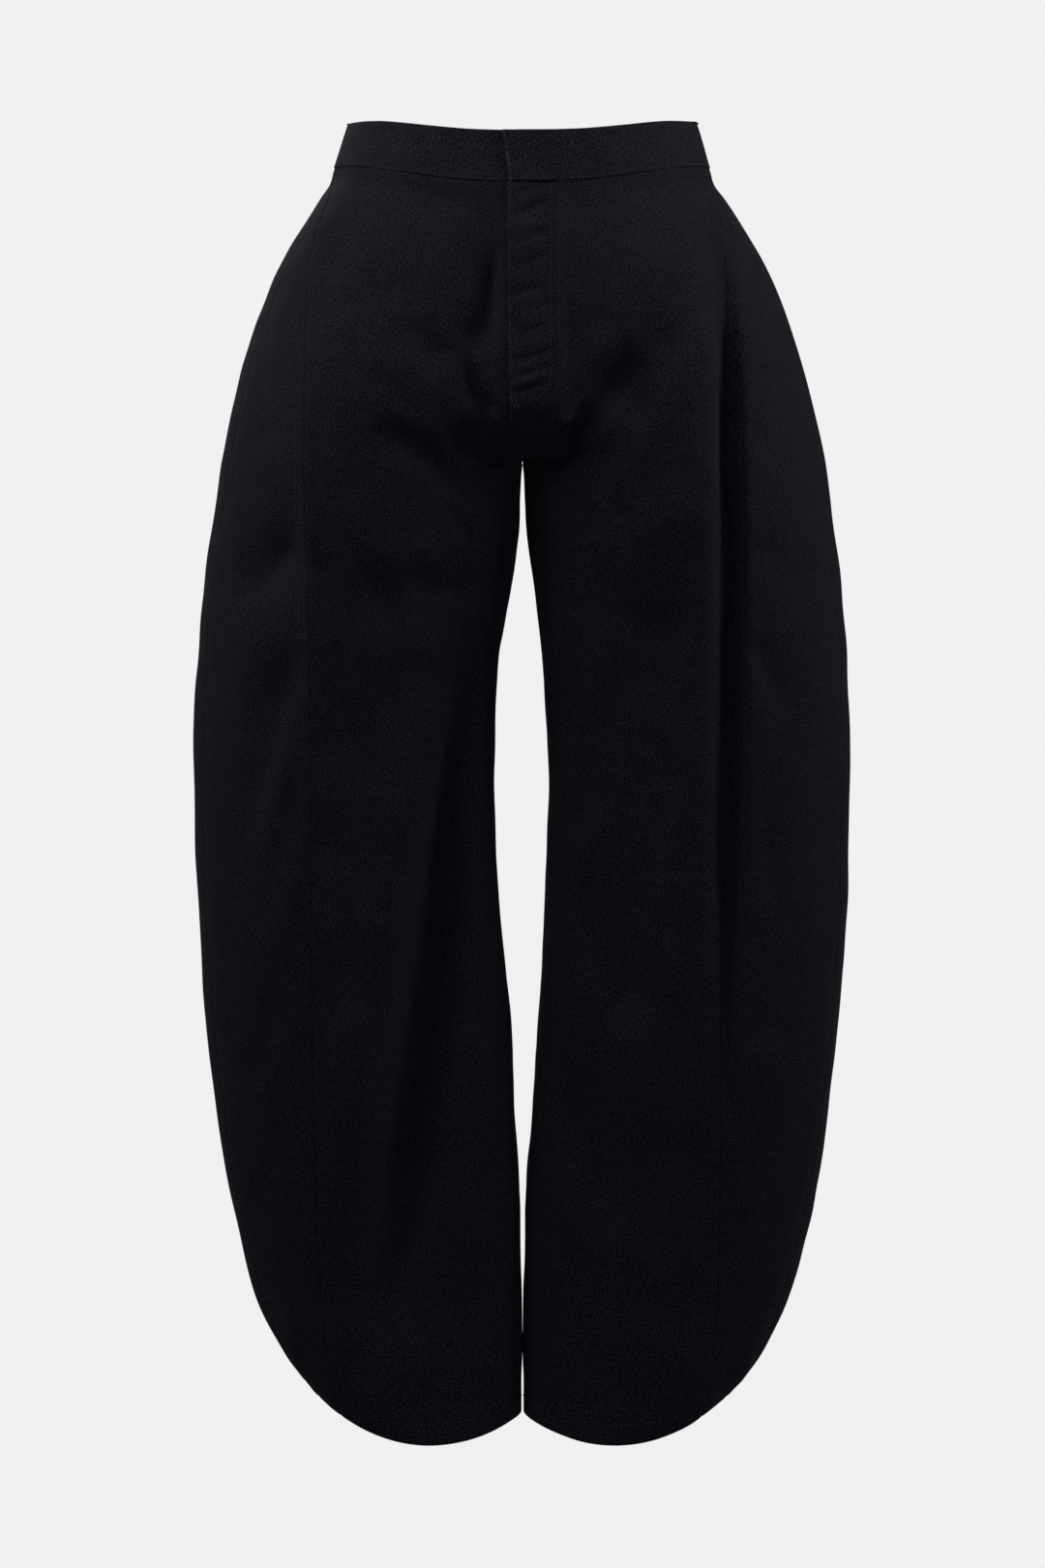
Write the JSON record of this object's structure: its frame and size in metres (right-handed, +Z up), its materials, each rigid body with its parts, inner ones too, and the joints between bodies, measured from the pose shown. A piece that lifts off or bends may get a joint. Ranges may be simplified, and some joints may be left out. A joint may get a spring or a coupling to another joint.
{
  "type": "barrel leg trousers",
  "caption": "Black cotton twill barrel leg trousers, hollow as when worn, with curved side panels, a lapped fly front and a plain waistband.",
  "frame": {"origin": "middle of the waist opening, level with the top of its sides, where the wearer's waist holds the garment", "axes": "+Z up, front of the trousers towards -Y, the wearer's left towards +X"},
  "size_m": [0.5088, 0.2363, 1.0178],
  "materials": {
    "twill": "matt black cotton twill",
    "band": "matt black cotton twill, doubled",
    "thread": "black sewing thread"
  },
  "bodies": {
    "root": {"front_right": "twill", "front_left": "twill", "side_right": "twill", "side_left": "twill", "back_right": "twill", "back_left": "twill", "waistband_right": "band", "waistband_left": "band"}
  },
  "joints": []
}
